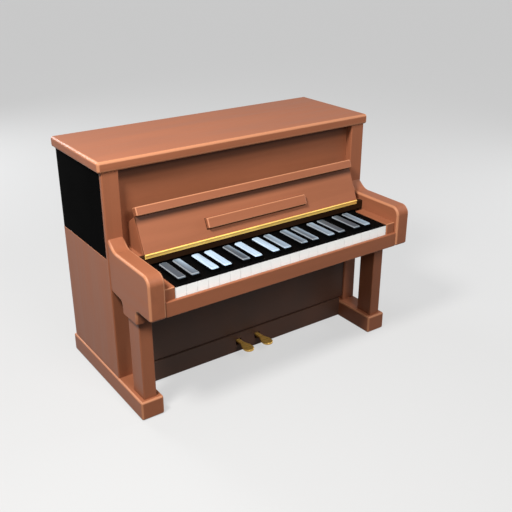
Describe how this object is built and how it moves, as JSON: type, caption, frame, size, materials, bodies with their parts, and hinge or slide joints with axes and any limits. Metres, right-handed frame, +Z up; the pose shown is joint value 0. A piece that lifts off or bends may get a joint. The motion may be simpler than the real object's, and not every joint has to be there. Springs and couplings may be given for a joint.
{
  "type": "upright piano",
  "caption": "Upright piano with hinged lid, folding fallboard and music ledge, sprung keys and pedals, iron plate and strings, on sled feet with square legs.",
  "frame": {"origin": "on the floor, in the middle of the footprint", "axes": "+X towards the treble end, +Y towards the back, +Z up; the player sits at -Y"},
  "size_m": [1.53, 0.9126, 1.171],
  "materials": {
    "case_wood": "satin",
    "shaded_wood": "satin",
    "beech": "plain",
    "spruce": "varnished",
    "string_steel": "bright",
    "key_black": "gloss",
    "sharp_grey": "gloss",
    "brass": "polished",
    "cast_iron": "gilt",
    "hammer_felt": "felt",
    "damper_felt": "felt"
  },
  "bodies": {
    "case": {"side_left": "case_wood", "side_right": "case_wood", "arm_left": "case_wood", "arm_right": "case_wood", "leg_and_foot_left": "case_wood", "leg_and_foot_right": "case_wood", "upper_front_panel": "case_wood", "lower_front_panel": "shaded_wood", "toe_rail": "shaded_wood", "keybed": "beech", "key_slip": "case_wood", "nameboard": "shaded_wood", "fallboard_hinge": "brass", "back_frame": "beech", "soundboard": "spruce", "iron_plate": "cast_iron", "strings": "string_steel"},
    "lid": {"lid": "case_wood"},
    "fallboard": {"fallboard": "case_wood"},
    "music_ledge": {"music_ledge": "case_wood"},
    "hammers": {"hammers": "hammer_felt"},
    "dampers": {"dampers": "damper_felt"},
    "pedal_soft": {"pedal_soft": "brass"},
    "pedal_sustain": {"pedal_sustain": "brass"},
    "natural_01": {"natural_01": "key_black"},
    "natural_02": {"natural_02": "key_black"},
    "natural_03": {"natural_03": "key_black"},
    "natural_04": {"natural_04": "key_black"},
    "natural_05": {"natural_05": "key_black"},
    "natural_06": {"natural_06": "key_black"},
    "natural_07": {"natural_07": "key_black"},
    "natural_08": {"natural_08": "key_black"},
    "natural_09": {"natural_09": "key_black"},
    "natural_10": {"natural_10": "key_black"},
    "natural_11": {"natural_11": "key_black"},
    "natural_12": {"natural_12": "key_black"},
    "natural_13": {"natural_13": "key_black"},
    "natural_14": {"natural_14": "key_black"},
    "natural_15": {"natural_15": "key_black"},
    "natural_16": {"natural_16": "key_black"},
    "natural_17": {"natural_17": "key_black"},
    "natural_18": {"natural_18": "key_black"},
    "natural_19": {"natural_19": "key_black"},
    "natural_20": {"natural_20": "key_black"},
    "natural_21": {"natural_21": "key_black"},
    "natural_22": {"natural_22": "key_black"},
    "sharp_01": {"sharp_01": "sharp_grey"},
    "sharp_02": {"sharp_02": "sharp_grey"},
    "sharp_03": {"sharp_03": "sharp_grey"},
    "sharp_04": {"sharp_04": "sharp_grey"},
    "sharp_05": {"sharp_05": "sharp_grey"},
    "sharp_06": {"sharp_06": "sharp_grey"},
    "sharp_07": {"sharp_07": "sharp_grey"},
    "sharp_08": {"sharp_08": "sharp_grey"},
    "sharp_09": {"sharp_09": "sharp_grey"},
    "sharp_10": {"sharp_10": "sharp_grey"},
    "sharp_11": {"sharp_11": "sharp_grey"},
    "sharp_12": {"sharp_12": "sharp_grey"},
    "sharp_13": {"sharp_13": "sharp_grey"},
    "sharp_14": {"sharp_14": "sharp_grey"}
  },
  "joints": [
    {"name": "lid_hinge", "type": "hinge", "parent": "case", "child": "lid", "pos_m": [0, 0.43625, 1.12], "axis": [-1, 0, 0], "range_deg": [0, 95]},
    {"name": "fallboard_hinge", "type": "hinge", "parent": "case", "child": "fallboard", "pos_m": [0, -0.19475, 0.7495], "axis": [1, 0, 0], "range_deg": [0, 118]},
    {"name": "music_ledge_hinge", "type": "hinge", "parent": "fallboard", "child": "music_ledge", "pos_m": [0, -0.17523, 0.79335], "axis": [-1, 0, 0], "range_deg": [-90, 0]},
    {"name": "pedal_soft_pivot", "type": "hinge", "parent": "case", "child": "pedal_soft", "pos_m": [-0.06, 0.10625, 0.072], "axis": [1, 0, 0], "range_deg": [0, 4.42], "stiffness_Nm_per_rad": 8, "springref_deg": -28.65},
    {"name": "pedal_sustain_pivot", "type": "hinge", "parent": "case", "child": "pedal_sustain", "pos_m": [0.06, 0.10625, 0.072], "axis": [1, 0, 0], "range_deg": [0, 4.42], "stiffness_Nm_per_rad": 8, "springref_deg": -28.65},
    {"name": "hammer_rail", "type": "hinge", "parent": "case", "child": "hammers", "pos_m": [0, 0.19125, 0.8], "axis": [-1, 0, 0], "range_deg": [0, 9]},
    {"name": "damper_rail", "type": "hinge", "parent": "case", "child": "dampers", "pos_m": [0, 0.24625, 0.72], "axis": [1, 0, 0], "range_deg": [0, 3]},
    {"name": "natural_01_key", "type": "hinge", "parent": "case", "child": "natural_01", "pos_m": [-0.58347, -0.11375, 0.6655], "axis": [1, 0, 0], "range_deg": [0, 1.79], "stiffness_Nm_per_rad": 2, "springref_deg": -11.46},
    {"name": "natural_02_key", "type": "hinge", "parent": "case", "child": "natural_02", "pos_m": [-0.5279, -0.11375, 0.6655], "axis": [1, 0, 0], "range_deg": [0, 1.79], "stiffness_Nm_per_rad": 2, "springref_deg": -11.46},
    {"name": "natural_03_key", "type": "hinge", "parent": "case", "child": "natural_03", "pos_m": [-0.47233, -0.11375, 0.6655], "axis": [1, 0, 0], "range_deg": [0, 1.79], "stiffness_Nm_per_rad": 2, "springref_deg": -11.46},
    {"name": "natural_04_key", "type": "hinge", "parent": "case", "child": "natural_04", "pos_m": [-0.41676, -0.11375, 0.6655], "axis": [1, 0, 0], "range_deg": [0, 1.79], "stiffness_Nm_per_rad": 2, "springref_deg": -11.46},
    {"name": "natural_05_key", "type": "hinge", "parent": "case", "child": "natural_05", "pos_m": [-0.36119, -0.11375, 0.6655], "axis": [1, 0, 0], "range_deg": [0, 1.79], "stiffness_Nm_per_rad": 2, "springref_deg": -11.46},
    {"name": "natural_06_key", "type": "hinge", "parent": "case", "child": "natural_06", "pos_m": [-0.30562, -0.11375, 0.6655], "axis": [1, 0, 0], "range_deg": [0, 1.79], "stiffness_Nm_per_rad": 2, "springref_deg": -11.46},
    {"name": "natural_07_key", "type": "hinge", "parent": "case", "child": "natural_07", "pos_m": [-0.25006, -0.11375, 0.6655], "axis": [1, 0, 0], "range_deg": [0, 1.79], "stiffness_Nm_per_rad": 2, "springref_deg": -11.46},
    {"name": "natural_08_key", "type": "hinge", "parent": "case", "child": "natural_08", "pos_m": [-0.19449, -0.11375, 0.6655], "axis": [1, 0, 0], "range_deg": [0, 1.79], "stiffness_Nm_per_rad": 2, "springref_deg": -11.46},
    {"name": "natural_09_key", "type": "hinge", "parent": "case", "child": "natural_09", "pos_m": [-0.13892, -0.11375, 0.6655], "axis": [1, 0, 0], "range_deg": [0, 1.79], "stiffness_Nm_per_rad": 2, "springref_deg": -11.46},
    {"name": "natural_10_key", "type": "hinge", "parent": "case", "child": "natural_10", "pos_m": [-0.08335, -0.11375, 0.6655], "axis": [1, 0, 0], "range_deg": [0, 1.79], "stiffness_Nm_per_rad": 2, "springref_deg": -11.46},
    {"name": "natural_11_key", "type": "hinge", "parent": "case", "child": "natural_11", "pos_m": [-0.02778, -0.11375, 0.6655], "axis": [1, 0, 0], "range_deg": [0, 1.79], "stiffness_Nm_per_rad": 2, "springref_deg": -11.46},
    {"name": "natural_12_key", "type": "hinge", "parent": "case", "child": "natural_12", "pos_m": [0.02778, -0.11375, 0.6655], "axis": [1, 0, 0], "range_deg": [0, 1.79], "stiffness_Nm_per_rad": 2, "springref_deg": -11.46},
    {"name": "natural_13_key", "type": "hinge", "parent": "case", "child": "natural_13", "pos_m": [0.08335, -0.11375, 0.6655], "axis": [1, 0, 0], "range_deg": [0, 1.79], "stiffness_Nm_per_rad": 2, "springref_deg": -11.46},
    {"name": "natural_14_key", "type": "hinge", "parent": "case", "child": "natural_14", "pos_m": [0.13892, -0.11375, 0.6655], "axis": [1, 0, 0], "range_deg": [0, 1.79], "stiffness_Nm_per_rad": 2, "springref_deg": -11.46},
    {"name": "natural_15_key", "type": "hinge", "parent": "case", "child": "natural_15", "pos_m": [0.19449, -0.11375, 0.6655], "axis": [1, 0, 0], "range_deg": [0, 1.79], "stiffness_Nm_per_rad": 2, "springref_deg": -11.46},
    {"name": "natural_16_key", "type": "hinge", "parent": "case", "child": "natural_16", "pos_m": [0.25006, -0.11375, 0.6655], "axis": [1, 0, 0], "range_deg": [0, 1.79], "stiffness_Nm_per_rad": 2, "springref_deg": -11.46},
    {"name": "natural_17_key", "type": "hinge", "parent": "case", "child": "natural_17", "pos_m": [0.30562, -0.11375, 0.6655], "axis": [1, 0, 0], "range_deg": [0, 1.79], "stiffness_Nm_per_rad": 2, "springref_deg": -11.46},
    {"name": "natural_18_key", "type": "hinge", "parent": "case", "child": "natural_18", "pos_m": [0.36119, -0.11375, 0.6655], "axis": [1, 0, 0], "range_deg": [0, 1.79], "stiffness_Nm_per_rad": 2, "springref_deg": -11.46},
    {"name": "natural_19_key", "type": "hinge", "parent": "case", "child": "natural_19", "pos_m": [0.41676, -0.11375, 0.6655], "axis": [1, 0, 0], "range_deg": [0, 1.79], "stiffness_Nm_per_rad": 2, "springref_deg": -11.46},
    {"name": "natural_20_key", "type": "hinge", "parent": "case", "child": "natural_20", "pos_m": [0.47233, -0.11375, 0.6655], "axis": [1, 0, 0], "range_deg": [0, 1.79], "stiffness_Nm_per_rad": 2, "springref_deg": -11.46},
    {"name": "natural_21_key", "type": "hinge", "parent": "case", "child": "natural_21", "pos_m": [0.5279, -0.11375, 0.6655], "axis": [1, 0, 0], "range_deg": [0, 1.79], "stiffness_Nm_per_rad": 2, "springref_deg": -11.46},
    {"name": "natural_22_key", "type": "hinge", "parent": "case", "child": "natural_22", "pos_m": [0.58347, -0.11375, 0.6655], "axis": [1, 0, 0], "range_deg": [0, 1.79], "stiffness_Nm_per_rad": 2, "springref_deg": -11.46},
    {"name": "sharp_01_key", "type": "hinge", "parent": "case", "child": "sharp_01", "pos_m": [-0.56174, -0.11375, 0.6655], "axis": [1, 0, 0], "range_deg": [0, 1.79], "stiffness_Nm_per_rad": 2, "springref_deg": -11.46},
    {"name": "sharp_02_key", "type": "hinge", "parent": "case", "child": "sharp_02", "pos_m": [-0.49406, -0.11375, 0.6655], "axis": [1, 0, 0], "range_deg": [0, 1.79], "stiffness_Nm_per_rad": 2, "springref_deg": -11.46},
    {"name": "sharp_03_key", "type": "hinge", "parent": "case", "child": "sharp_03", "pos_m": [-0.39503, -0.11375, 0.6655], "axis": [1, 0, 0], "range_deg": [0, 1.79], "stiffness_Nm_per_rad": 2, "springref_deg": -11.46},
    {"name": "sharp_04_key", "type": "hinge", "parent": "case", "child": "sharp_04", "pos_m": [-0.32735, -0.11375, 0.6655], "axis": [1, 0, 0], "range_deg": [0, 1.79], "stiffness_Nm_per_rad": 2, "springref_deg": -11.46},
    {"name": "sharp_05_key", "type": "hinge", "parent": "case", "child": "sharp_05", "pos_m": [-0.22833, -0.11375, 0.6655], "axis": [1, 0, 0], "range_deg": [0, 1.79], "stiffness_Nm_per_rad": 2, "springref_deg": -11.46},
    {"name": "sharp_06_key", "type": "hinge", "parent": "case", "child": "sharp_06", "pos_m": [-0.16065, -0.11375, 0.6655], "axis": [1, 0, 0], "range_deg": [0, 1.79], "stiffness_Nm_per_rad": 2, "springref_deg": -11.46},
    {"name": "sharp_07_key", "type": "hinge", "parent": "case", "child": "sharp_07", "pos_m": [-0.06162, -0.11375, 0.6655], "axis": [1, 0, 0], "range_deg": [0, 1.79], "stiffness_Nm_per_rad": 2, "springref_deg": -11.46},
    {"name": "sharp_08_key", "type": "hinge", "parent": "case", "child": "sharp_08", "pos_m": [0.00606, -0.11375, 0.6655], "axis": [1, 0, 0], "range_deg": [0, 1.79], "stiffness_Nm_per_rad": 2, "springref_deg": -11.46},
    {"name": "sharp_09_key", "type": "hinge", "parent": "case", "child": "sharp_09", "pos_m": [0.10508, -0.11375, 0.6655], "axis": [1, 0, 0], "range_deg": [0, 1.79], "stiffness_Nm_per_rad": 2, "springref_deg": -11.46},
    {"name": "sharp_10_key", "type": "hinge", "parent": "case", "child": "sharp_10", "pos_m": [0.17276, -0.11375, 0.6655], "axis": [1, 0, 0], "range_deg": [0, 1.79], "stiffness_Nm_per_rad": 2, "springref_deg": -11.46},
    {"name": "sharp_11_key", "type": "hinge", "parent": "case", "child": "sharp_11", "pos_m": [0.27178, -0.11375, 0.6655], "axis": [1, 0, 0], "range_deg": [0, 1.79], "stiffness_Nm_per_rad": 2, "springref_deg": -11.46},
    {"name": "sharp_12_key", "type": "hinge", "parent": "case", "child": "sharp_12", "pos_m": [0.33947, -0.11375, 0.6655], "axis": [1, 0, 0], "range_deg": [0, 1.79], "stiffness_Nm_per_rad": 2, "springref_deg": -11.46},
    {"name": "sharp_13_key", "type": "hinge", "parent": "case", "child": "sharp_13", "pos_m": [0.43849, -0.11375, 0.6655], "axis": [1, 0, 0], "range_deg": [0, 1.79], "stiffness_Nm_per_rad": 2, "springref_deg": -11.46},
    {"name": "sharp_14_key", "type": "hinge", "parent": "case", "child": "sharp_14", "pos_m": [0.50617, -0.11375, 0.6655], "axis": [1, 0, 0], "range_deg": [0, 1.79], "stiffness_Nm_per_rad": 2, "springref_deg": -11.46}
  ],
  "couplings": [
    {"joint": "hammer_rail", "follows": "pedal_soft_pivot", "ratio": 2},
    {"joint": "damper_rail", "follows": "pedal_sustain_pivot", "ratio": 0.67}
  ]
}
